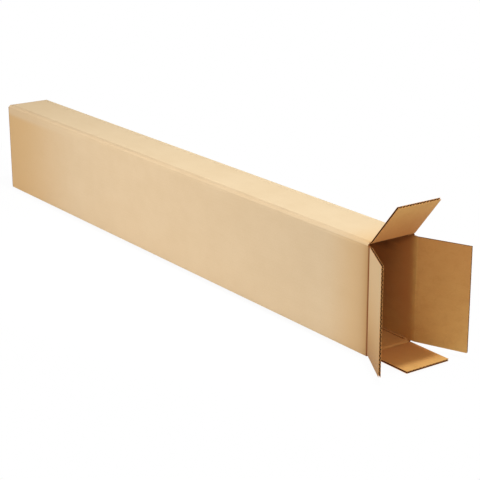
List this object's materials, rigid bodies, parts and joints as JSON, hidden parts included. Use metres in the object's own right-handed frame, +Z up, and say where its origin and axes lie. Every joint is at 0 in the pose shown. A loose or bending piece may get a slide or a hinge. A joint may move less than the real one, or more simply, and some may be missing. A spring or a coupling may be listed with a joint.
{
  "type": "side-loading box",
  "caption": "Long, narrow corrugated carton lying on its side: folded shut at one end, with creased flaps standing open at the other, for shipping long goods.",
  "frame": {"origin": "middle of the base panel's outer face, which is the face the carton lies on", "axes": "+X along the carton towards its open end, +Y from the front panel to the back panel, +Z up"},
  "size_m": [1.4959, 0.2008, 0.2925],
  "materials": {
    "kraft_board": "matt kraft paper"
  },
  "bodies": {
    "carton": {"tube": "kraft_board"},
    "front_flap": {"front_flap": "kraft_board"},
    "back_flap": {"back_flap": "kraft_board"},
    "top_flap": {"top_flap": "kraft_board"},
    "base_flap": {"base_flap": "kraft_board"}
  },
  "joints": [
    {"name": "front_flap_crease", "type": "hinge", "parent": "carton", "child": "front_flap", "pos_m": [0.69445, -0.05505, 0.1057], "axis": [0, 0, 1], "range_deg": [-150.5, 119.5]},
    {"name": "back_flap_crease", "type": "hinge", "parent": "carton", "child": "back_flap", "pos_m": [0.69885, 0.05505, 0.1057], "axis": [0, 0, -1], "range_deg": [-158, 112]},
    {"name": "top_flap_crease", "type": "hinge", "parent": "carton", "child": "top_flap", "pos_m": [0.69005, 0, 0.21155], "axis": [0, 1, 0], "range_deg": [-129.5, 140.5]},
    {"name": "base_flap_crease", "type": "hinge", "parent": "carton", "child": "base_flap", "pos_m": [0.69005, 0, -0.00015], "axis": [0, -1, 0], "range_deg": [-180, 90]}
  ]
}
